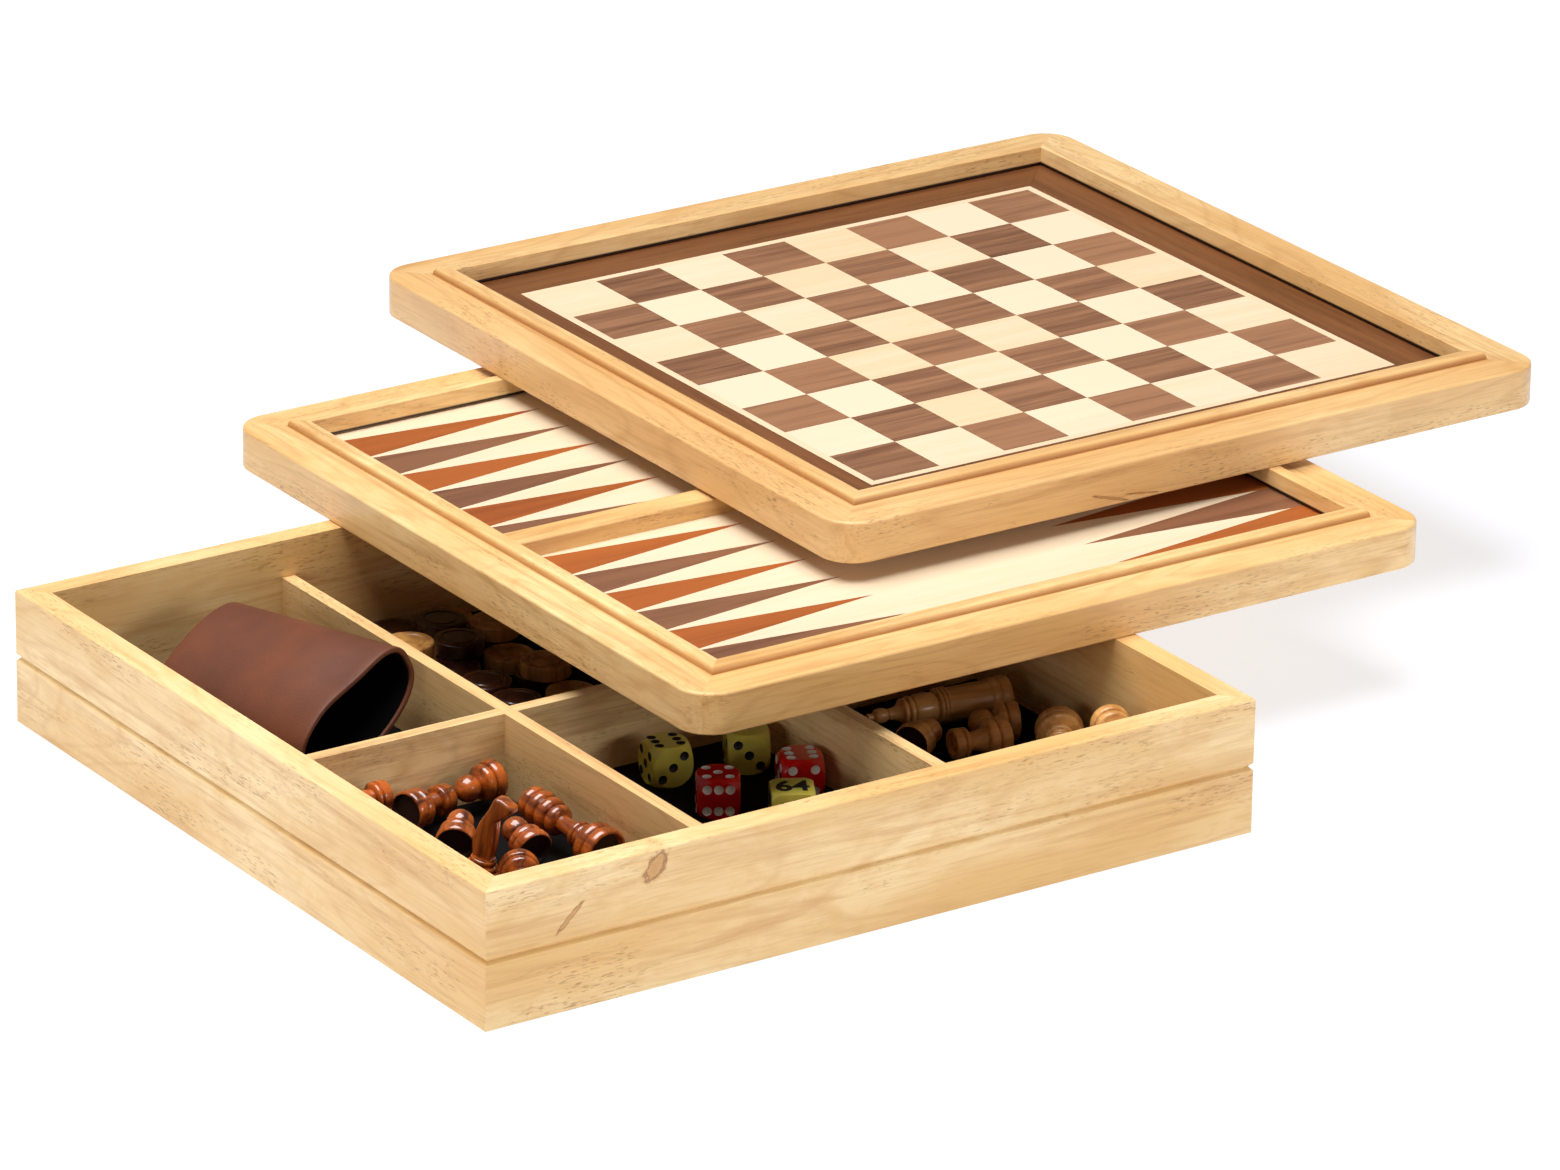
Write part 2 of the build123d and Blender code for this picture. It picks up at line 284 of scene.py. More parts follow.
def colour(red, green, blue):
    # A colour as seen on screen, 0 to 255, made linear for the shader.
    def linear(level):
        share = level / 255
        return share / 12.92 if share <= 0.04045 else ((share + 0.055) / 1.055) ** 2.4
    return (linear(red), linear(green), linear(blue), 1.0)


# ---- pale wood of the box and the frames

boxWood = {
    "light": (246, 216, 162),
    "warm": (228, 184, 118),
    "streak": (196, 138, 76),
    "pore": (146, 90, 42),
    "roughness": 0.45,
    "gloss": 0.1,
}
trayWood = {
    "light": (244, 209, 150),
    "warm": (226, 179, 113),
    "streak": (180, 120, 58),
    "pore": (124, 74, 34),
    "roughness": 0.4,
    "gloss": 0.2,
}
lidWood = {
    "light": (241, 206, 149),
    "warm": (221, 175, 114),
    "streak": (172, 112, 54),
    "pore": (112, 64, 28),
    "roughness": 0.4,
    "gloss": 0.25,
}
dividerWood = {
    "light": (246, 214, 158),
    "warm": (226, 184, 124),
    "streak": (170, 118, 70),
    "pore": (104, 64, 38),
    "roughness": 0.5,
    "gloss": 0.0,
}
grainTurns = {"x": (0, 0, 0), "y": (0, 0, turn / 4)}
# Painted shade lines on the rails: brown at the lip's foot, black along the field's edge.
shadeLineLook = {
    "lipWidth": 1.2,
    "lipStrength": 0.75,
    "topMargin": 0.6,
    "fieldMargin": 0.2,
    "fieldBlack": 1.4,  # above the panel's top: painted shade, black up to here, and clear wood from the next
    "fieldClear": 1.9,
    "black": (26, 14, 8),
}


def grain(shader, vector, along, seed):
    # Coordinates in metres with the grain along their own X, shifted so that no two pieces match.
    shift = (seed * 1.37, seed * 0.61, seed * 0.29)
    return shader.stretch(vector, (1, 1, 1), shift, grainTurns[along])


def addKnot(shader, tone, place, look, knot):
    # A knot at (x, y, z) in millimetres: a dark ring round a browner eye. A very thin one is a crack.
    centre = [length * mm for length in knot["place"]]
    lean = [math.radians(degrees) for degrees in knot["lean"]]
    squeeze = [1 / (length * mm) for length in knot["size"]]
    eye = shader.stretch(shader.vectors("SUBTRACT", place, centre), (1, 1, 1), rotate=lean)
    eye = shader.vectors("MULTIPLY", eye, squeeze)
    away = shader.add("VectorMath", {0: eye}, operation="LENGTH").outputs["Value"]
    ragged = shader.ramp(shader.noise(place, 380, 3, 0.7), 0.3, 0.7, -0.3, 0.3)
    away = shader.sums("ADD", away, ragged)
    ring = shader.ramp(shader.gap(away, 1.0), 0.0, 0.3, 0.8, 0.0)
    tone = shader.blend(shader.ramp(away, 0.5, 1.6, 0.75, 0.0), tone, colour(*look["streak"]))
    return shader.blend(ring, tone, colour(*look["pore"]))


def addShadeLines(shader, tone, place, look, lines):
    # Painted shade: a brown line at the foot of the lip, in the corner where it meets the flat, and a
    # black one where the rail meets the playing field, along the shadow gap.
    size = shader.fromCentre(place, lines["centre"])
    reach = shader.sums("MAXIMUM", size["X"], size["Y"])
    fromLip = shader.gap(reach, lines["lip"] * mm)
    onTop = shader.sums("GREATER_THAN", size["Z"], lines["top"] * mm)
    lipShade = shader.ramp(fromLip, 0.0, shadeLineLook["lipWidth"] * mm, shadeLineLook["lipStrength"], 0.0)
    tone = shader.blend(shader.sums("MULTIPLY", onTop, lipShade), tone, colour(*look["streak"]))
    inside = shader.sums("LESS_THAN", reach, lines["field"] * mm)
    black, clear = ((lines["panel"] + shadeLineLook[key]) * mm for key in ("fieldBlack", "fieldClear"))
    low = shader.ramp(size["Z"], black, clear, 1.0, 0.0)
    return shader.blend(shader.sums("MULTIPLY", inside, low), tone, colour(*shadeLineLook["black"]))


def makePaleWood(name, along, seed, look, warmth=0.0, knots=(), lines=None):
    # Broad clouds of tone, then mottle, curl, year rings, fibre and short dark pores along the grain.
    shader = Shader(name)
    place = shader.place()
    wood = grain(shader, place, along, seed)
    cloud = shader.noise(shader.stretch(wood, (6, 26, 26)), detail=2)
    mottle = shader.noise(shader.stretch(wood, (55, 120, 120)), detail=3, rough=0.6, warp=0.6)
    figure = shader.noise(shader.stretch(wood, (5, 100, 100)), detail=4, rough=0.65, warp=1.3)
    fibre = shader.noise(shader.stretch(wood, (50, 1300, 1300)), detail=2, rough=0.6)
    rings = shader.noise(shader.stretch(wood, (5, 26, 26), (1, 2, 3)), detail=2, rough=0.3, warp=0.3)
    ringLine = shader.gap(shader.sums("FRACT", shader.sums("MULTIPLY", rings, 13.0)), 0.5)
    dashes = shader.noise(shader.stretch(wood, (260, 1900, 1900)), detail=1)
    patches = shader.noise(shader.stretch(wood, (14, 55, 55), (3, 7, 1)), detail=2)
    tone = shader.blend(
        shader.ramp(cloud, 0.34 - warmth, 0.64 - warmth), colour(*look["light"]), colour(*look["warm"]))
    tone = shader.blend(shader.ramp(mottle, 0.44, 0.66, 0.0, 0.55), tone, colour(*look["warm"]))
    tone = shader.blend(shader.ramp(figure, 0.52, 0.7, 0.0, 0.5), tone, colour(*look["streak"]))
    tone = shader.blend(shader.ramp(ringLine, 0.0, 0.16, 0.2, 0.0), tone, colour(*look["streak"]))
    tone = shader.blend(shader.ramp(fibre, 0.48, 0.8, 0.0, 0.35), tone, colour(*look["streak"]))
    fleck = shader.sums("MULTIPLY", shader.ramp(dashes, 0.6, 0.68), shader.ramp(patches, 0.5, 0.62))
    tone = shader.blend(shader.sums("MULTIPLY", fleck, 0.5), tone, colour(*look["pore"]))
    for knot in knots:
        tone = addKnot(shader, tone, place, look, knot)
    # Painted shade lines at the lip's foot and along the field's edge.
    if lines:
        tone = addShadeLines(shader, tone, place, look, lines)
    shader.bump(shader.sums("SUBTRACT", fibre, fleck), 0.00005, 0.5)
    rough = shader.ramp(cloud, 0.3, 0.8, look["roughness"] - 0.05, look["roughness"] + 0.1)
    return shader.finish(
        Base_Color=tone, Roughness=rough, Specular_IOR_Level=0.4, Coat_Weight=look["gloss"],
        Coat_Roughness=0.25)


# ---- veneers

walnut = {"light": (158, 112, 80), "dark": (90, 54, 34), "roughness": 0.42}
pointWalnut = {"light": (132, 88, 62), "dark": (84, 48, 32), "roughness": 0.42}
borderWalnut = {"light": (136, 86, 48), "dark": (78, 40, 18), "roughness": 0.42}
maple = {"light": (233, 212, 182), "dark": (222, 190, 144), "roughness": 0.42}
russet = {"light": (166, 88, 36), "dark": (120, 54, 18), "roughness": 0.45}


def makeVeneer(shader, wood, look, tilt, contrast):
    # wood has the grain along X; tilt makes one leaf darker or lighter than the next.
    bands = shader.noise(shader.stretch(wood, (7, 160, 160)), detail=3, rough=0.65, warp=0.5)
    fibre = shader.noise(shader.stretch(wood, (45, 1300, 1300)), detail=3, rough=0.7)
    share = shader.sums("ADD", shader.ramp(bands, 0.35, 0.7, 0.0, contrast), tilt)
    share = shader.sums("ADD", share, shader.ramp(fibre, 0.35, 0.75, -0.18, 0.18), clamp=True)
    tone = shader.blend(share, colour(*look["light"]), colour(*look["dark"]))
    shader.bump(fibre, 0.00004, 0.4)
    return shader.finish(Base_Color=tone, Roughness=look["roughness"], Specular_IOR_Level=0.4)


def leafNoise(shader, vector, cell, corner):
    # One steady random number for each cell of a grid laid over the board.
    steps = shader.vectors("DIVIDE", shader.vectors("SUBTRACT", vector, corner), cell)
    steps = shader.vectors("FLOOR", steps)
    return shader.add("TexWhiteNoise", {"Vector": steps}, noise_dimensions="3D").outputs


def makeLeaves(name, look, cell, corner, contrast, spread):
    # Veneer cut in leaves, each with its own tone and its own stretch of grain.
    shader = Shader(name)
    place = shader.place()
    leaf = leafNoise(shader, place, cell, corner)
    moved = shader.add(
        "VectorMath", {0: leaf["Color"], 1: (3, 5, 2), 2: grain(shader, place, "x", 0)},
        operation="MULTIPLY_ADD").outputs[0]
    tilt = shader.ramp(leaf["Value"], 0, 1, -spread, spread)
    return makeVeneer(shader, moved, look, tilt, contrast)


def makeMitredVeneer(name, look, centre, contrast):
    # Strips round a board: the grain follows X on two sides and Y on the other two.
    shader = Shader(name)
    place = shader.place()
    size = shader.fromCentre(place, centre)
    sideways = shader.sums("GREATER_THAN", size["X"], size["Y"])
    # 0, 4 and 5 are the share and the two vectors.
    along = {0: sideways, 4: grain(shader, place, "x", 2), 5: grain(shader, place, "y", 5)}
    mix = shader.add("Mix", along, data_type="VECTOR").outputs[1]
    return makeVeneer(shader, mix, look, 0.3, contrast)


# ---- board frames: eight mitred rails

railShape = {
    "side": 330.0,
    "thickness": 16.5,
    "corner": 14.0,
    "cornerCuts": 14,
    "flat": 16.5,
    "lip": 6.5,
    "lipRise": 2.79,  # a hundredth under the solids', so that the lid doesn't rub on it
    "lipRound": 2.2,
    "topEase": 1.2,
    "footEase": 0.8,
    "innerEase": 0.4,
    "rebate": 3.0,
    "tuck": 6.0,
    "fieldDrop": 5.3,
    "panel": 6.0,
    "shadowGap": 0.8,
    "joint": 0.05,
}
railSides = {"near_right": 0, "far_right": 90, "far_left": 180, "near_left": 270}  # degrees
lidCracks = {
    "near_right": (
        {"place": (203, -20.6, 75.5), "size": (7, 30, 0.5), "lean": (0, -16, 0)},
        {"place": (218, -20.6, 74.6), "size": (6, 30, 0.35), "lean": (0, -8, 0)},
    ),
}


def boardCentre(board):
    low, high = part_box(f"{board}_bottom_sheet")
    return Vector(((low.x + high.x) / 2, (low.y + high.y) / 2, low.z))


def makeFrame(name, centre, shape):
    # The whole frame of a board, before its mitres part it.
    side, thick, lipRise = shape["side"], shape["thickness"], shape["lipRise"]
    up = Vector((0, 0, mm))
    near = mm / 10
    block = addBlock(name, centre + up * thick / 2, (side, side, thick))
    startEdit(block, "EDGE")
    pickEdges(block, lambda a, b: abs(a.z - b.z) > thick / 2 * mm)
    bpy.ops.mesh.bevel(offset=shape["corner"] * mm, segments=shape["cornerCuts"], affect="EDGES")
    topHeight = centre.z + thick * mm
    pickEdges(block, lambda a, b: min(a.z, b.z) > topHeight - near)
    bpy.ops.mesh.bevel(offset=shape["topEase"] * mm, segments=4, affect="EDGES")
    pickEdges(block, lambda a, b: max(a.z, b.z) < centre.z + near)
    bpy.ops.mesh.bevel(offset=shape["footEase"] * mm, segments=3, affect="EDGES")
    endEdit()
    lipSide = side - 2 * shape["flat"]
    sunk = 2.0  # how deep the lip's block reaches into the rail's
    lipMiddle = centre + up * (thick + (lipRise - sunk) / 2)
    lip = addBlock("lip", lipMiddle, (lipSide, lipSide, lipRise + sunk))
    startEdit(lip, "EDGE")
    pickEdges(lip, lambda a, b: min(a.z, b.z) > topHeight + mm)
    bpy.ops.mesh.bevel(offset=shape["lipRound"] * mm, segments=6, affect="EDGES")
    endEdit()
    joinOrCut(block, lip, "UNION")
    fieldSide = lipSide - 2 * shape["lip"]
    tucked = fieldSide + 2 * shape["tuck"]
    slotHeight = shape["panel"] + shape["shadowGap"]
    slotMiddle = thick - shape["fieldDrop"] - shape["panel"] + slotHeight / 2
    tall = 4 * thick
    cuts = (
        ("opening", 0, (fieldSide, fieldSide, tall)),
        ("rebate", 0, (tucked, tucked, 2 * shape["rebate"])),
        ("slot", slotMiddle, (tucked, tucked, slotHeight)),
    )
    for word, middle, size in cuts:
        joinOrCut(block, addBlock(word, centre + up * middle, size), "DIFFERENCE")
    startEdit(block, "EDGE")
    inner = fieldSide / 2 * mm
    crown = topHeight + lipRise * mm
    pickEdges(block, lambda a, b: min(a.z, b.z) > crown - near and all(
        max(abs(end.x - centre.x), abs(end.y - centre.y)) < inner + near for end in (a, b)))
    bpy.ops.mesh.bevel(offset=shape["innerEase"] * mm, segments=3, affect="EDGES")
    endEdit()
    return block


def cutRail(wholeFrame, name, centre, degrees, joint):
    # The stretch of the frame between two mitres, each in line with the middle and a corner.
    rail = copyPiece(wholeFrame, name, Matrix.Identity(4))
    startEdit(rail, "FACE")
    for lean in (-45, 45):
        across = turned(degrees + lean) @ Vector((0, 1, 0))
        pickAll()
        bpy.ops.mesh.bisect(
            plane_co=centre - across * joint * mm, plane_no=across, use_fill=True, clear_outer=True)
    endEdit()
    smooth(rail, 32)
    useModifier(rail, "WEIGHTED_NORMAL", keep_sharp=True, weight=80)
    return rail


def makeRails(board, wood, warmth, seed, marks):
    centre = boardCentre(board)
    wholeFrame = makeFrame(f"{board}Frame", centre, railShape)
    lip = railShape["side"] / 2 - railShape["flat"]
    # Where the painted shade lines fall: the lip's foot and the edge of the field.
    lines = {
        "centre": centre,
        "lip": lip,
        "top": railShape["thickness"] - shadeLineLook["topMargin"],
        "field": lip - railShape["lip"] + shadeLineLook["fieldMargin"],
        "panel": railShape["thickness"] - railShape["fieldDrop"],
    }
    for number, (place, degrees) in enumerate(railSides.items()):
        words = "".join(word.capitalize() for word in place.split("_"))
        rail = cutRail(wholeFrame, f"{board}Rail{words}", centre, degrees, railShape["joint"])
        along = "x" if degrees % 180 == 0 else "y"
        material = makePaleWood(
            f"{board}Wood{words}", along, seed + number, wood, warmth, marks.get(place, ()), lines)
        finishPiece(rail, f"{board}_board", [material], [f"{board}_rail_{place}"])
    bpy.data.objects.remove(wholeFrame)


makeRails("backgammon", trayWood, 0.0, 3, {})
makeRails("chess", lidWood, 0.04, 11, lidCracks)
print("board frames made")


# ---- box, panels and veneers: the frame's own pieces, with their finishes

def paint(node, material):
    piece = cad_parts[node]
    piece.data.materials.clear()
    piece.data.materials.append(material)


wallKnots = {
    "near_right": (
        {"place": (-95, -165, 46.5), "size": (3.0, 30, 5.6), "lean": (0, -36, 0)},
        {"place": (-130.4, -165, 35.3), "size": (0.9, 30, 6.5), "lean": (0, -47, 0)},
    ),
}


def paintBox():
    for number, (place, degrees) in enumerate(railSides.items()):
        along = "x" if degrees % 180 == 0 else "y"
        knots = wallKnots.get(place, ())
        wood = makePaleWood(f"boxWood{number}", along, 21 + number, boxWood, knots=knots)
        paint(f"base_wall_{place}", wood)
    for number, (name, along) in enumerate((("left", "y"), ("right", "y"), ("cross", "x"))):
        wood = makePaleWood(f"dividerWood{number}", along, 31 + number, dividerWood, 0.05)
        paint(f"divider_{name}", wood)


felt = {"light": (17, 15, 15), "dark": (4, 3, 3), "worn": (9, 8, 7)}
plywood = {
    "light": (232, 200, 150),
    "dark": (208, 168, 114),
    "fibre": (176, 132, 84),
    "glue": (140, 98, 58),
}


def makeFelt(name, look):
    shader = Shader(name)
    fuzz = shader.noise(shader.place(), 2600, 2, 0.6)
    patch = shader.noise(shader.place(), 60, 2)
    tone = shader.blend(fuzz, colour(*look["dark"]), colour(*look["light"]))
    tone = shader.blend(shader.ramp(patch, 0.4, 0.7, 0, 0.4), tone, colour(*look["worn"]))
    shader.bump(fuzz, 0.0002, 0.6)
    return shader.finish(Base_Color=tone, Roughness=0.95, Specular_IOR_Level=0.15)


def makePlywood(name, look):
    # Grain on the faces, and glue lines between the layers on the edges.
    shader = Shader(name)
    place = shader.place()
    bands = shader.noise(shader.stretch(place, (5, 60, 60)), detail=3, rough=0.6, warp=0.8)
    fibre = shader.noise(shader.stretch(place, (35, 1100, 1100)), detail=3, rough=0.7)
    layer = shader.ramp(shader.parts(place)["Z"], 0, 0.005, 0, 4)
    glue = shader.ramp(shader.gap(shader.sums("FRACT", layer), 0.5), 0.42, 0.5, 0, 0.4)
    tone = shader.blend(shader.ramp(bands, 0.35, 0.7), colour(*look["light"]), colour(*look["dark"]))
    tone = shader.blend(shader.ramp(fibre, 0.4, 0.8, 0, 0.4), tone, colour(*look["fibre"]))
    tone = shader.blend(glue, tone, colour(*look["glue"]))
    shader.bump(fibre, 0.00006, 0.5)
    return shader.finish(Base_Color=tone, Roughness=0.6)


def paintBoards():
    sheets = makePlywood("plywood", plywood)
    for node in ("base_floor", "backgammon_bottom_sheet", "chess_bottom_sheet",
                 "backgammon_core_panel", "chess_core_panel"):
        paint(node, sheets)
    paint("base_felt_lining", makeFelt("blackFelt", felt))
    paint("backgammon_bar", makePaleWood("barWood", "x", 41, trayWood))
    # cell is the size of a leaf in metres, far taller than the board, and corner is the first one's.
    squareSide = 0.030
    chess = boardCentre("chess")
    corner = (chess.x - 4 * squareSide, chess.y - 4 * squareSide, -1)
    cell = (squareSide, squareSide, 10)
    paint("chess_dark_squares", makeLeaves("walnutSquares", walnut, cell, corner, 0.75, 0.3))
    paint("chess_light_squares", makeLeaves("mapleSquares", maple, cell, corner, 0.4, 0.45))
    paint("chess_border", makeMitredVeneer("walnutBorder", borderWalnut, chess, 0.5))
    paint("chess_stringing", makeMitredVeneer("mapleStringing", maple, chess, 0.2))
    backgammon = boardCentre("backgammon")
    pitch = 0.0215
    firstEdge = 0.0072  # from the middle of the bar to the first point
    cell = (0.15, pitch, 10)
    corner = (backgammon.x, backgammon.y + firstEdge, -1)
    paint("backgammon_field", makeLeaves("mapleField", maple, (1, 1, 10), (0, 0, -1), 0.3, 0.0))
    paint("backgammon_russet_points", makeLeaves("russetPoints", russet, cell, corner, 0.5, 0.2))
    paint("backgammon_walnut_points", makeLeaves("walnutPoints", pointWalnut, cell, corner, 0.6, 0.2))


paintBox()
paintBoards()
print("box and boards finished")


# ---- chessmen, turned and then laid in their compartments

def bead(low, high, rim, belly, cuts=6):
    # A half-round ring between two heights.
    arc = [math.pi * cut / cuts for cut in range(cuts + 1)]
    middle, half, swell = (low + high) / 2, (high - low) / 2, belly - rim
    return [(middle - half * math.cos(a), rim + swell * math.sin(a)) for a in arc]


def ball(middle, radius, start, end):
    # Part of a ball's outline, from one latitude to another, in degrees.
    cuts = 8
    arc = [math.radians(start + (end - start) * cut / cuts) for cut in range(cuts + 1)]
    return [(middle + radius * math.sin(a), radius * math.cos(a)) for a in arc]


def cove(low, lowRadius, high, highRadius):
    # A hollow stem: one smooth curve that is soonest thin near its foot.
    cuts = 6
    knee = low + (high - low) * 0.35
    points = []
    for cut in range(cuts + 1):
        t = cut / cuts
        points.append((
            low * (1 - t) ** 2 + 2 * knee * t * (1 - t) + high * t ** 2,
            lowRadius * (1 - t) ** 2 + 2 * highRadius * t * (1 - t) + highRadius * t ** 2))
    return points


def foot(radius, high):
    # The hollowed underside and the broad bead that every man stands on: (height, radius).
    recess = [(1.6, 0), (1.5, radius * 0.72), (0.3, radius * 0.8), (0, radius * 0.86)]
    return recess + bead(0.1, high, radius * 0.9, radius, 8)


turnedOutlines = {
    "pawn": foot(7.6, 4.4) + bead(4.5, 8.3, 5.9, 7.0) + [(8.7, 4.6), (9.1, 4.1)]
    + ball(13.7, 5.2, -60, 90),
    "rook": foot(8.0, 4.4) + bead(4.6, 8.8, 6.4, 7.6) + cove(9.2, 5.2, 15.8, 3.5)
    + bead(16, 18, 4.6, 5.8) + [(18.3, 5.3), (18.6, 5.8), (21.6, 5.8), (22, 5.5), (22, 4.3)]
    + [(20.4, 4.1), (20.2, 0)],
    "bishop": foot(8.0, 4.4) + bead(4.6, 8.2, 6.2, 7.0) + bead(8.4, 10.4, 5.2, 5.9)
    + cove(10.6, 4.8, 22.5, 3.2) + bead(22.8, 25.2, 3.6, 5.6) + ball(29.6, 5.4, -48, 50)
    + [(36.4, 1.5), (37.5, 1.3), (38, 0)],
    "queen": foot(9.2, 4.7) + bead(4.9, 9.5, 7.8, 9.0) + bead(9.8, 12.6, 5.0, 5.8)
    + bead(12.9, 14.9, 4.4, 5.0) + bead(15.1, 17.3, 4.4, 5.2) + cove(17.6, 3.9, 25.8, 3.2)
    + bead(26.2, 30.6, 4.2, 6.0) + bead(30.8, 35.4, 5.4, 6.9) + bead(35.8, 40.2, 5.6, 7.2)
    + bead(40.6, 45, 5.2, 6.6) + ball(44.4, 2.8, 10, 90),
    "king": foot(8.2, 4.4) + bead(4.6, 8.4, 7.2, 7.8) + [(8.8, 7.1), (24.8, 6.6)]
    + bead(25, 26.4, 6.5, 7.1) + bead(26.5, 28, 6.5, 7.2) + bead(28.1, 29.6, 6.3, 7.0)
    + bead(30, 39.2, 5.2, 6.1, 12) + bead(39.4, 41.6, 4.9, 5.9) + bead(41.8, 43.8, 4.4, 5.3)
    + cove(44.1, 4.0, 49, 2.2) + bead(49.3, 54.8, 1.8, 2.9, 8) + [(55.4, 1.3), (57.4, 1.5), (58, 0)],
}
knightShape = {
    "foot": foot(8.0, 4.4) + bead(4.6, 6.4, 5.0, 5.9) + bead(6.6, 8.6, 4.4, 4.9)
    + [(9.2, 4.2), (9.2, 0)],
    # The head's outline from chest to mane: (height, towards the nose).
    "head": [
        (8, -3), (8, 3.2), (12.4, 3.2), (18.8, 2.6), (24, 1.8), (26.4, 4.4), (29.6, 7.2), (31.8, 7),
        (33.4, 2.2), (33, -0.6), (28, -1.8), (22, -4), (15.8, -5.2), (12, -4.6),
    ],
    "thickness": 6.2,
    "ease": 0.9,
}
lathe = {"steps": 36, "smooth": 38, "merge": 0.02}
# (x, y, height) of the middle of each foot, in millimetres, then its heading, nod and roll in degrees.
menPlaces = {
    "dark": {
        "king": [(-146.4, -153.5, 14.3, 90)],
        "queen": [(-65.4, -87.9, 16.1, 96, 7)],
        "bishop": [(-137.4, -146.6, 14.2, 0), (-59, -146.6, 14.2, 180)],
        "knight": [(-106.1, -66.4, 8, -43, 77, -107), (-137.4, -129.6, 14.2, 0)],
        "rook": [(-105.7, -16, 15.1, 16, -3), (-136.2, -17.1, 24, 4)],
        "pawn": [
            (-63.6, -10.8, 17.6, 187, -3), (-104.6, -48, 13.8, 50, 12), (-85.1, -70.9, 15.4, 89, 13),
            (-95.7, -76.4, 13.8, 245), (-140, -34, 13.9, 90, -8), (-57.4, -130.6, 13.7, 180),
            (-79.4, -130.6, 13.7, 180), (-57.4, -112, 13.7, 180),
        ],
    },
    "light": {
        "king": [(144, -38.5, 14.4, 171)],
        "queen": [(141.2, -76.6, 15.6, 236)],
        "bishop": [(76.5, -97.6, 14.2, 0), (56.5, -146.6, 14.2, 0)],
        "knight": [(56.5, -130.4, 14.2, 0), (91.5, -130.4, 14.2, 0)],
        "rook": [(121.6, -70.4, 14.2, 170), (97, -146.6, 14.2, 0)],
        "pawn": [
            (87.6, -57.6, 13.8, 27), (134.4, -59.6, 13.8, 158), (140.4, -108.6, 29.2, 250),
            (147.2, -153.5, 13.8, 90), (56.5, -114, 13.8, 0), (56.5, -98, 13.8, 0),
            (121, -146.6, 13.8, 0), (147.2, -131.5, 13.8, 90),
        ],
    },
}


def drawOutline(name, outline, side=0.0):
    # A line drawn point by point over the X axis, left selected in edit mode.
    clearSelection()
    height, radius = outline[0]
    bpy.ops.mesh.primitive_plane_add(size=mm, location=(radius * mm, side * mm, height * mm))
    bpy.ops.object.transform_apply(location=True, rotation=False, scale=False)
    piece = bpy.context.object
    piece.name = name
    startEdit(piece, "VERT")
    pickAll()
    bpy.ops.mesh.merge(type="CENTER")
    for (lastHeight, lastRadius), (height, radius) in zip(outline, outline[1:]):
        step = ((radius - lastRadius) * mm, 0, (height - lastHeight) * mm)
        bpy.ops.mesh.extrude_region_move(TRANSFORM_OT_translate={"value": step})
    pickAll()
    return piece


def turnPiece(name, outline, look=lathe):
    # The half outline is spun round the Z axis.
    piece = drawOutline(name, outline)
    bpy.ops.mesh.remove_doubles(threshold=look["merge"] * mm)
    bpy.ops.mesh.spin(steps=look["steps"], angle=turn, center=(0, 0, 0), axis=(0, 0, 1))
    pickAll()
    bpy.ops.mesh.remove_doubles(threshold=look["merge"] * mm)
    faceOutwards()
    smooth(piece, look["smooth"])
    return piece


def makeKnight(name, shape):
    # A turned foot with a sawn and eased head standing on it.
    piece = turnPiece(name, shape["foot"])
    thick = shape["thickness"]
    head = drawOutline("head", shape["head"], -thick / 2)
    bpy.ops.mesh.edge_face_add()
    bpy.ops.mesh.extrude_region_move(TRANSFORM_OT_translate={"value": (0, thick * mm, 0)})
    faceOutwards()
    easeEdges(head, shape["ease"], 50)
    joinOrCut(piece, head, "UNION")
    smooth(piece, lathe["smooth"])
    return piece


def lying(x, y, z, heading, nod=0, roll=0):
    # Lays a piece that stands on Z: its foot goes to (x, y, z) and its head points along the heading.
    headed = turned(heading) @ turned(-nod, "Y")
    along = headed @ Vector((1, 0, 0))
    across = headed @ turned(roll, "X") @ Vector((0, 1, 0))
    return Matrix.Translation(Vector((x, y, z)) * mm) @ fromAxes(across, along.cross(across), along)


darkStain = {"light": (196, 96, 28), "dark": (72, 23, 7), "roughness": 0.22, "coat": 1.0, "gloss": 0.06}
honey = {"light": (226, 172, 102), "dark": (182, 122, 60), "roughness": 0.3, "coat": 0.4, "gloss": 0.15}


def makeTurnedWood(name, look):
    shader = Shader(name)
    own = shader.ownPlace()
    bands = shader.noise(shader.stretch(own, (160, 160, 22)), detail=3, rough=0.6, warp=0.7)
    fibre = shader.noise(shader.stretch(own, (1300, 1300, 60)), detail=3, rough=0.7)
    share = shader.sums(
        "ADD", shader.ramp(bands, 0.35, 0.68), shader.ramp(fibre, 0.3, 0.8, -0.2, 0.25), clamp=True)
    tone = shader.blend(share, colour(*look["light"]), colour(*look["dark"]))
    shader.bump(fibre, 0.00005, 0.3)
    rough = shader.ramp(fibre, 0.3, 0.8, look["roughness"], look["roughness"] + 0.12)
    return shader.finish(
        Base_Color=tone, Roughness=rough, Coat_Weight=look["coat"], Coat_Roughness=look["gloss"])


# Painted shade colours for the hollow under each man.
hollow = {"light": (52, 20, 18), "dark": (30, 12, 12), "height": 2.0, "radius": 6.8}


def makeHollowShade(name, look):
    # Painted shade: the hollow under each man is darkened where shade falls inside it.
    shader = Shader(name)
    haze = shader.noise(shader.ownPlace(), 400, 2)
    tone = shader.blend(haze, colour(*look["dark"]), colour(*look["light"]))
    return shader.finish(Base_Color=tone, Roughness=0.55)


# Faces in the hollow under a man take the painted shade.
def paintHollowShade(pattern, look):
    for face in pattern.data.polygons:
        low = face.center.z < look["height"] * mm and face.normal.z < -0.2
        if low and face.center.xy.length < look["radius"] * mm:
            face.material_index = 1


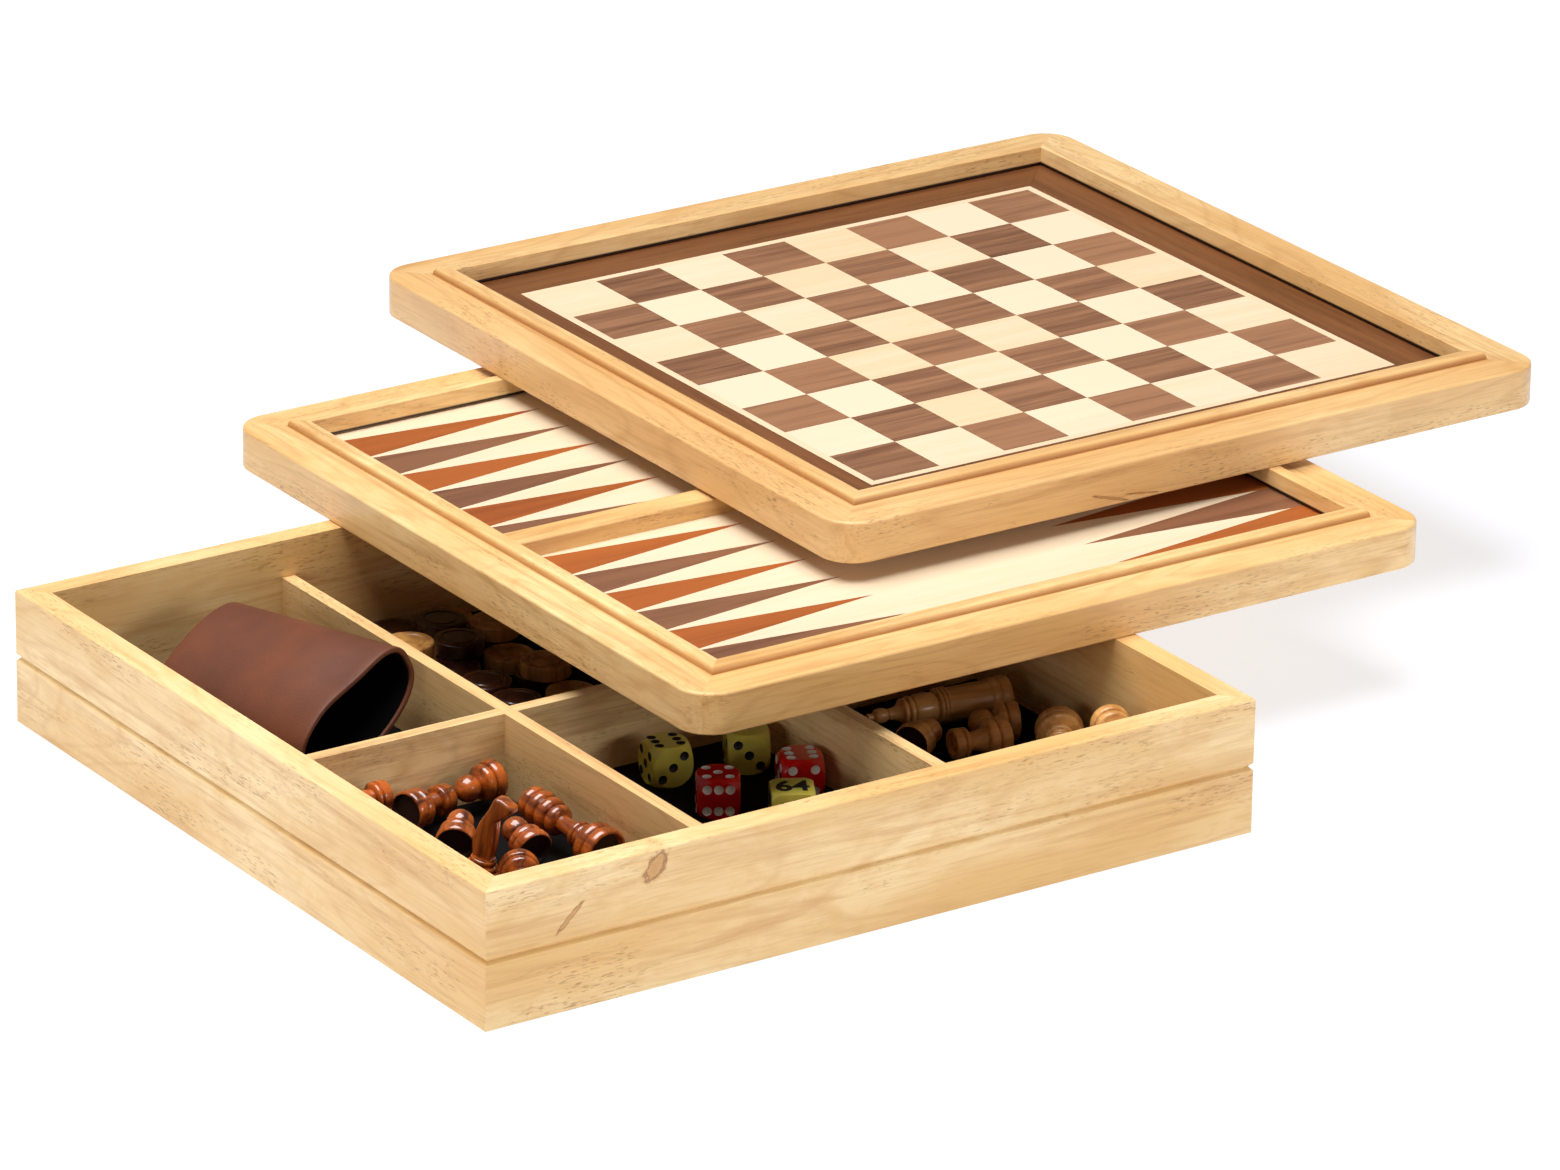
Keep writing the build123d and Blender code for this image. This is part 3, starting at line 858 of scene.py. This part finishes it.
def layMen():
    patterns = {kind: turnPiece(kind, outline) for kind, outline in turnedOutlines.items()}
    patterns["knight"] = makeKnight("knight", knightShape)
    for pattern in patterns.values():
        paintHollowShade(pattern, hollow)
    underside = makeHollowShade("paintedHollowShade", hollow)
    finishes = {
        "dark": (makeTurnedWood("darkStainedWood", darkStain), "dark_chessmen", "dark_stained_wood"),
        "light": (makeTurnedWood("honeyWood", honey), "base", "honey_wood"),
    }
    count = 0
    for shade, kinds in menPlaces.items():
        material, body, slot = finishes[shade]
        for kind, places in kinds.items():
            node = f"{shade}_{kind}" + ("s" if kind not in ("king", "queen") else "")
            for number, place in enumerate(places):
                count += 1
                man = copyPiece(patterns[kind], f"{shade}{kind.capitalize()}{number + 1}", Matrix())
                stampOwnPlace(man, (count * 0.31, count * 0.17, 0))
                man.data.transform(lying(*place))
                finishPiece(man, body, [material, underside], [node])
    for pattern in patterns.values():
        bpy.data.objects.remove(pattern)


layMen()
print("chessmen laid")


# ---- draughts

draughtShape = {
    "radius": 9.75,
    "thickness": 6.0,
    "ease": 0.8,
    "ringRadius": 6.6,
    "ringEdges": (-1.0, -0.5, 0.1, 0.6),  # the groove's corners, from its radius
    "ringDepth": 0.35,
    "steps": 40,
    "columns": (-36.5, -12, 12, 36.5),
    "rows": 7,
    "firstRow": 13.0,
    "pitch": 22.0,
    "leftOut": 6,
    "layer": 6.1,
    "turn": 1.3,  # radians from one draught to the next
    "lightOnTop": ((-30, 105, 2), (-31, 104, 1), (17, 119, 1), (12, 75, 1)),  # x, y, layer
    "darkOnTop": ((-4, 111, 1), (0.5, 131, 1), (-17.5, 70, 1), (-17.5, 49, 1)),
}
draughtLooks = {
    "light": {
        "light": (206, 152, 84), "dark": (150, 96, 44), "roughness": 0.35, "coat": 0.3, "gloss": 0.15},
    "dark": {
        "light": (70, 32, 16), "dark": (28, 12, 7), "roughness": 0.3, "coat": 0.5, "gloss": 0.1},
}


def makeDraught(shape):
    radius, thick, ease = shape["radius"], shape["thickness"], shape["ease"]
    deep = shape["ringDepth"]
    ring = [shape["ringRadius"] + edge for edge in shape["ringEdges"]]
    corner = [(ease * (1 - math.sin(a)), radius - ease * (1 - math.cos(a)))
              for a in (math.pi / 2, math.pi / 3, math.pi / 6, 0)]
    underside = [(0, 0), *zip((0, deep, deep, 0), ring), *corner]
    topside = [(thick - height, reach) for height, reach in reversed(underside)]
    return turnPiece("draught", underside + topside, {**lathe, "steps": shape["steps"], "smooth": 34})


def layDraughts(shape):
    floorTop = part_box("base_felt_lining")[1].z / mm
    pattern = makeDraught(shape)
    spots = [(x, shape["firstRow"] + shape["pitch"] * row, 0)
             for x in shape["columns"] for row in range(shape["rows"])][:-shape["leftOut"]]
    sets = {
        "light": [*spots[::2], *shape["lightOnTop"]],
        "dark": [*spots[1::2], *shape["darkOnTop"]],
    }
    for shade, places in sets.items():
        material = makeTurnedWood(f"{shade}Stone", draughtLooks[shade])
        for number, (x, y, layer) in enumerate(places):
            stone = copyPiece(pattern, f"{shade}Draught{number + 1}", Matrix())
            stampOwnPlace(stone, (number * 0.23, number * 0.41, 0))
            place = Vector((x, y, floorTop + layer * shape["layer"])) * mm
            spun = Matrix.Rotation(number * shape["turn"], 4, "Z")
            stone.data.transform(Matrix.Translation(place) @ spun)
            finishPiece(stone, "base", [material], [f"draughts_{shade}"])
    bpy.data.objects.remove(pattern)


layDraughts(draughtShape)
print("draughts laid")


# ---- dice

dieShape = {
    "size": 16.0,
    "ballRadius": 11.1,
    "ease": 0.5,
    "pipRadius": 1.8,
    "pipDepth": 0.65,
    "pipSpread": 4.2,
    "pipSides": 24,
}
# Which number shows on each face, and whether its pattern is turned a quarter round.
# Faces: top, nearRight and nearLeft as the camera sees them; the rest follow, seven in each pair.
diceRoll = {
    "yellow_die_1": {"turn": -12, "top": 6, "nearRight": 3, "nearLeft": 5, "flips": (6,)},
    "yellow_die_2": {"turn": -26, "top": 1, "nearRight": 3, "nearLeft": 2, "flips": (3,)},
    "red_die_1": {"turn": -31, "top": 5, "nearRight": 6, "nearLeft": 4, "flips": ()},
    "red_die_2": {"turn": -23, "top": 6, "nearRight": 4, "nearLeft": 5, "flips": (6,)},
}
cubeRoll = {
    "turn": -29,
    "numbers": ("64", "32", "16", "8", "4", "2"),
    "ballRadius": 12.5,
    "letter": 12.6,
    "boldness": 0.34,
    "raise": 0.12,
}


def nodeMiddle(node):
    low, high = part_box(node)
    return (low + high) / 2


def pipSpots(value, flipped):
    # Where the pips of a face are, in steps from its middle.
    spots = []
    if value % 2:
        spots.append((0, 0))
    if value > 1:
        spots += [(-1, -1), (1, 1)]
    if value > 3:
        spots += [(-1, 1), (1, -1)]
    if value == 6:
        spots += [(0, -1), (0, 1)]
    if flipped:
        spots = [(y, -x) for x, y in spots]
    return spots


def dieFaces(roll):
    # (value, outward, rightward, upward) for each face of a die that isn't turned yet.
    x, y, z = Vector((1, 0, 0)), Vector((0, 1, 0)), Vector((0, 0, 1))
    return (
        (roll["top"], z, x, y), (7 - roll["top"], -z, x, -y),
        (roll["nearRight"], -y, x, z), (7 - roll["nearRight"], y, -x, z),
        (roll["nearLeft"], -x, -y, z), (7 - roll["nearLeft"], x, y, z),
    )


def roundedCube(name, shape):
    # A cube whose corners are cut by a ball and whose edges are eased.
    cube = addBlock(name, (0, 0, 0), (shape["size"],) * 3)
    clearSelection()
    bpy.ops.mesh.primitive_uv_sphere_add(segments=64, ring_count=48, radius=shape["ballRadius"] * mm)
    joinOrCut(cube, bpy.context.object, "INTERSECT")
    easeEdges(cube, shape["ease"], 24)
    return cube


def cutPips(cube, roll, shape):
    # All the pips are dished in one cut; the dishes are then given their own paint.
    deep, wide, sides = shape["pipDepth"], shape["pipRadius"], shape["pipSides"]
    cutter = (wide * wide + deep * deep) / (2 * deep)  # the ball's radius
    dishes = []
    for value, outward, right, up in dieFaces(roll):
        for across, along in pipSpots(value, value in roll["flips"]):
            middle = (right * across + up * along) * shape["pipSpread"]
            middle += outward * (shape["size"] / 2 + cutter - deep)
            clearSelection()
            bpy.ops.mesh.primitive_uv_sphere_add(
                segments=sides, ring_count=sides, radius=cutter * mm, location=middle * mm)
            bpy.ops.object.transform_apply(location=True, rotation=False, scale=False)
            dishes.append((bpy.context.object, middle * mm))
    clearSelection()
    for dish, middle in dishes:
        dish.select_set(True)
    bpy.context.view_layer.objects.active = dishes[0][0]
    bpy.ops.object.join()
    joinOrCut(cube, bpy.context.object, "DIFFERENCE")
    for face in cube.data.polygons:
        for dish, middle in dishes:
            inward = face.center - middle
            onBall = abs(inward.length - cutter * mm) < mm / 10
            if onBall and inward.normalized().dot(face.normal) < -0.9:
                face.material_index = 1


def makePlastic(name, look):
    shader = Shader(name)
    cloud = shader.noise(shader.ownPlace(), 130, 2)
    tone = shader.blend(cloud, colour(*look["light"]), colour(*look["dark"]))
    shader.bump(shader.noise(shader.ownPlace(), 700, 2), 0.00002, 0.3)
    return shader.finish(
        Base_Color=tone, Roughness=look["roughness"], Subsurface_Weight=look["glow"],
        Subsurface_Scale=0.004, Coat_Weight=look["coat"], Coat_Roughness=0.06)


diceLooks = {
    "yellow": {
        "light": (224, 214, 100), "dark": (190, 174, 60), "roughness": 0.25, "glow": 0.2, "coat": 0.4},
    "red": {
        "light": (232, 26, 24), "dark": (186, 12, 16), "roughness": 0.15, "glow": 0.1, "coat": 0.4},
    "blackPaint": {
        "light": (14, 13, 11), "dark": (6, 5, 4), "roughness": 0.6, "glow": 0.0, "coat": 0.0},
    "whitePaint": {
        "light": (244, 242, 238), "dark": (206, 202, 200), "roughness": 0.4, "glow": 0.0, "coat": 0.0},
}
pipPaint = {"yellow": "blackPaint", "red": "whitePaint"}


def rollDice():
    looks = {key: makePlastic(key, look) for key, look in diceLooks.items()}
    for number, (node, roll) in enumerate(diceRoll.items()):
        die = roundedCube(node.title().replace("_", ""), dieShape)
        cutPips(die, roll, dieShape)
        smooth(die, 30)
        stampOwnPlace(die, (number * 0.1, 0, 0))
        die.data.transform(Matrix.Translation(nodeMiddle(node)) @ turned(roll["turn"]))
        tint = node.split("_")[0]
        finishPiece(die, node, [looks[tint], looks[pipPaint[tint]]], [node])
    return looks


def addNumber(text, outward, up, shape, roll):
    # A plain number on one face of the doubling cube, printed a hair proud of it.
    clearSelection()
    bpy.ops.object.text_add()
    label = bpy.context.object
    label.data.body = text
    label.data.size = roll["letter"] * mm
    label.data.align_x = "CENTER"
    label.data.align_y = "CENTER"
    label.data.offset = roll["boldness"] * mm
    label.data.extrude = roll["raise"] * mm
    label.data.resolution_u = 4
    bpy.ops.object.convert(target="MESH")
    label = bpy.context.object
    place = Matrix.Translation(outward * shape["size"] / 2 * mm)
    label.data.transform(place @ fromAxes(up.cross(outward), up, outward))
    label.name = f"DoublingNumber{text}"
    return label


def rollCube(looks, shape, roll):
    node = "doubling_cube"
    cube = roundedCube("DoublingCube", {**shape, "ballRadius": roll["ballRadius"]})
    smooth(cube, 30)
    stampOwnPlace(cube, (0.7, 0, 0))
    place = Matrix.Translation(nodeMiddle(node)) @ turned(roll["turn"])
    x, y, z = Vector((1, 0, 0)), Vector((0, 1, 0)), Vector((0, 0, 1))
    sides = ((z, y), (-x, y), (-y, -x), (x, -y), (y, x), (-z, -y))
    for text, (outward, up) in zip(roll["numbers"], sides):
        label = addNumber(text, outward, up, shape, roll)
        stampOwnPlace(label, (0.9, 0, 0))
        label.data.transform(place)
        finishPiece(label, node, [looks["blackPaint"]])
    cube.data.transform(place)
    finishPiece(cube, node, [looks["yellow"]], [node])


diceLook = rollDice()
rollCube(diceLook, dieShape, cubeRoll)
print("dice rolled")


# ---- leather dice cup

cupShape = {
    "mouth": (-89.5, 43, 28),
    "foot": (-108.4, 124.8, 25.4),
    "mouthRadii": (31.0, 17.0),
    "footRadii": (27.0, 15.2),
    "flatness": 0.8,
    "topFlatness": 0.62,
    "dent": 2.4,  # by the mouth, in the upper side
    "dentPlace": 0.25,  # shares of the half width
    "dentWidth": 0.75,
    "dentReach": 0.2,  # a share of the length
    "lean": -28,
    "leather": 2.2,
    "ease": 0.6,
    "lining": 0.8,
    "liningDrop": 1.0,
    "base": 4.0,
    "baseDrop": 0.6,
    "round": 96,
    "rings": 22,
}
leather = {"light": (118, 66, 42), "dark": (92, 50, 32), "roughness": 0.44, "gloss": 0.4}
blackCloth = {"light": (6, 5, 5), "dark": (2, 2, 2), "roughness": 0.85, "gloss": 0.1}


def cupPlace(shape):
    # Cup space: Z from mouth to foot, X along its wide way.
    mouth, foot = Vector(shape["mouth"]), Vector(shape["foot"])
    axis = (foot - mouth).normalized()
    across = Vector((axis.y, -axis.x, 0)).normalized()
    axes = fromAxes(across, axis.cross(across), axis)
    return Matrix.Translation(mouth * mm) @ axes @ turned(shape["lean"]), (foot - mouth).length


def flatTube(name, shape, start, end, inset, length):
    # A tapering sleeve, flatter and dented above: a round tube first, then pressed into shape.
    # start and end are along the cup from its mouth, and the upper side is towards -Y.
    clearSelection()
    bpy.ops.mesh.primitive_circle_add(vertices=shape["round"], radius=1, location=(0, 0, start))
    bpy.ops.object.transform_apply(location=True, rotation=False, scale=False)
    tube = bpy.context.object
    tube.name = name
    tube.data.name = name
    startEdit(tube, "EDGE")
    pickAll()
    step = (end - start) / shape["rings"]
    for ring in range(shape["rings"]):
        bpy.ops.mesh.extrude_region_move(TRANSFORM_OT_translate={"value": (0, 0, step)})
    faceOutwards()
    for point in tube.data.vertices:
        x, y, distance = point.co
        share = distance / length
        wide, narrow = (mouth + (foot - mouth) * share - inset
                        for mouth, foot in zip(shape["mouthRadii"], shape["footRadii"]))
        if y > 0:
            pressed = narrow * y ** shape["flatness"]
        else:
            away = min(1, abs(x - shape["dentPlace"]) / shape["dentWidth"])
            fade = math.exp(-(share / shape["dentReach"]) ** 2)
            dent = shape["dent"] * fade * math.cos(away * turn / 4) ** 2 * min(1, -2 * y)
            pressed = dent - narrow * (-y) ** shape["topFlatness"]
        point.co = Vector((wide * x, pressed, distance)) * mm
    return tube


def makeLeather(name, look):
    shader = Shader(name)
    own = shader.ownPlace()
    cloud = shader.noise(own, 35, 3)
    cells = shader.add("TexVoronoi", {"Vector": own, "Scale": 1500.0}).outputs["Distance"]
    crease = shader.noise(own, 420, 3, 0.6)
    tone = shader.blend(shader.ramp(cloud, 0.3, 0.7), colour(*look["light"]), colour(*look["dark"]))
    tone = shader.blend(shader.ramp(cells, 0.0, 0.6, 0.25, 0.0), tone, colour(*look["dark"]))
    height = shader.sums("ADD", cells, shader.sums("MULTIPLY", crease, 0.6))
    shader.bump(height, 0.00012, 0.35)
    rough = shader.ramp(cloud, 0.3, 0.7, look["roughness"], look["roughness"] + 0.12)
    return shader.finish(Base_Color=tone, Roughness=rough, Specular_IOR_Level=look["gloss"])


def makeCup(shape):
    place, length = cupPlace(shape)
    looks = {
        "shell": makeLeather("brownLeather", leather),
        "lining": makeLeather("blackLining", blackCloth),
    }
    thick = shape["leather"]
    shell = flatTube("cupShell", shape, 0, length, 0, length)
    useModifier(shell, "SOLIDIFY", thickness=thick * mm, offset=-1, use_even_offset=True)
    easeEdges(shell, shape["ease"], 50)
    baseTop = length - shape["base"]
    lining = flatTube("cupLining", shape, shape["liningDrop"], baseTop, thick, length)
    useModifier(lining, "SOLIDIFY", thickness=shape["lining"] * mm, offset=-1, use_even_offset=True)
    base = flatTube("cupBase", shape, baseTop, length - shape["baseDrop"], thick, length)
    startEdit(base, "EDGE")
    pickAll()
    bpy.ops.mesh.region_to_loop()
    bpy.ops.mesh.edge_face_add()
    faceOutwards()
    rows = (
        (shell, "shell", "brown_leather", "cup_shell"),
        (lining, "lining", "black_lining", "cup_lining"),
        (base, "shell", "brown_leather", "cup_base"),
    )
    for piece, look, slot, node in rows:
        smooth(piece, 40)
        stampOwnPlace(piece, (0, 0, 0))
        piece.data.transform(place)
        finishPiece(piece, "dice_cup", [looks[look]], [node])


makeCup(cupShape)
print("cup made")


# ---- floor, light and colour

studio = {
    "world": 0.15,
    "floor": (0.33, 0.34, 0.4, 1),
    "haze": (0.31, 0.32, 0.38, 1),
    "glow": 0.72,
    "target": (0.1, 0.07, 0.04),
    "lamps": {  # place, width and height in metres, watts
        "overhead": ((-0.25, 0.0, 1.9), (1.5, 1.5), 57),
        "front": ((0.9, -2.2, 0.7), (1.5, 0.5), 14.1),
        "left": ((-2.25, -0.6, 0.5), (1.5, 0.6), 11.8),
    },
}


def lightStudio(look):
    world = bpy.data.worlds.new("studio")
    bpy.context.scene.world = world
    world.use_nodes = True
    sky = world.node_tree.nodes["Background"].inputs
    sky["Color"].default_value = (1, 1, 1, 1)
    sky["Strength"].default_value = look["world"]
    for name, (place, size, power) in look["lamps"].items():
        clearSelection()
        bpy.ops.object.light_add(type="AREA", location=place)
        lamp = bpy.context.object
        lamp.name = name
        lamp.data.shape = "RECTANGLE"
        lamp.data.size, lamp.data.size_y = size
        lamp.data.energy = power
        aim = Vector(look["target"]) - lamp.location
        lamp.rotation_euler = aim.to_track_quat("-Z", "Y").to_euler()
    clearSelection()
    bpy.ops.mesh.primitive_plane_add(size=30, location=(0, 0, -0.0002))
    floor = bpy.context.object
    floor.name = "floor"
    shader = Shader("paleFloor")
    haze = shader.noise(shader.place(), 3, 2)
    tone = shader.blend(haze, look["floor"], look["haze"])
    floor.data.materials.append(shader.finish(
        Base_Color=tone, Roughness=0.8, Emission_Color=(1, 1, 1, 1), Emission_Strength=look["glow"]))
    bpy.context.scene.view_settings.view_transform = "Standard"


lightStudio(studio)
print("studio lit")

clearSelection()
